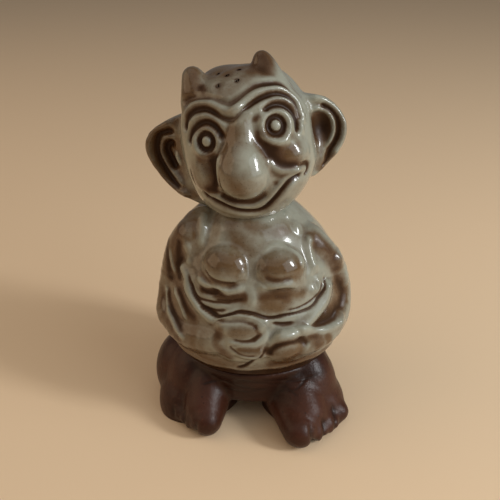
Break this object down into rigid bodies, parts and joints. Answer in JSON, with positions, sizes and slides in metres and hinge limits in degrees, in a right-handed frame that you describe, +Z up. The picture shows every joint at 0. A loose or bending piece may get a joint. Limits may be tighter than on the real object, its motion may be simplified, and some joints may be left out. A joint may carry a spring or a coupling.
{
  "type": "troll figurine",
  "caption": "Hunched stoneware troll with horns, big ears and bare brown feet, built hollow as a shaker with pour holes in the crown and a pull-out stopper below.",
  "frame": {"origin": "on the table, under the middle of the figure's bounding box", "axes": "+Z up, the figure faces -Y, its own right side is towards -X"},
  "size_m": [0.0618, 0.0556, 0.1084],
  "materials": {
    "glaze": "glossy grey-white glaze breaking to brown",
    "bare_stoneware": "bare dark brown clay with a slight sheen",
    "stopper": "matte"
  },
  "bodies": {
    "figure": {"torso_shell": "glaze", "right_pectoral": "glaze", "left_pectoral": "glaze", "right_arm": "glaze", "left_arm": "glaze", "head_shell": "glaze", "right_ear": "glaze", "left_ear": "glaze", "right_horn": "glaze", "left_horn": "glaze", "nose": "glaze", "right_eye": "glaze", "left_eye": "glaze", "right_cheek": "glaze", "left_cheek": "glaze", "right_brow": "glaze", "left_brow": "glaze", "forehead_fold": "glaze", "upper_lip": "glaze", "lower_lip": "glaze", "hip_ring": "bare_stoneware", "right_foot": "bare_stoneware", "left_foot": "bare_stoneware"},
    "stopper": {"stopper": "stopper"}
  },
  "joints": [
    {"name": "stopper_pull", "type": "slide", "parent": "figure", "child": "stopper", "axis": [0, 0, -1], "range_m": [0, 0.018]}
  ]
}
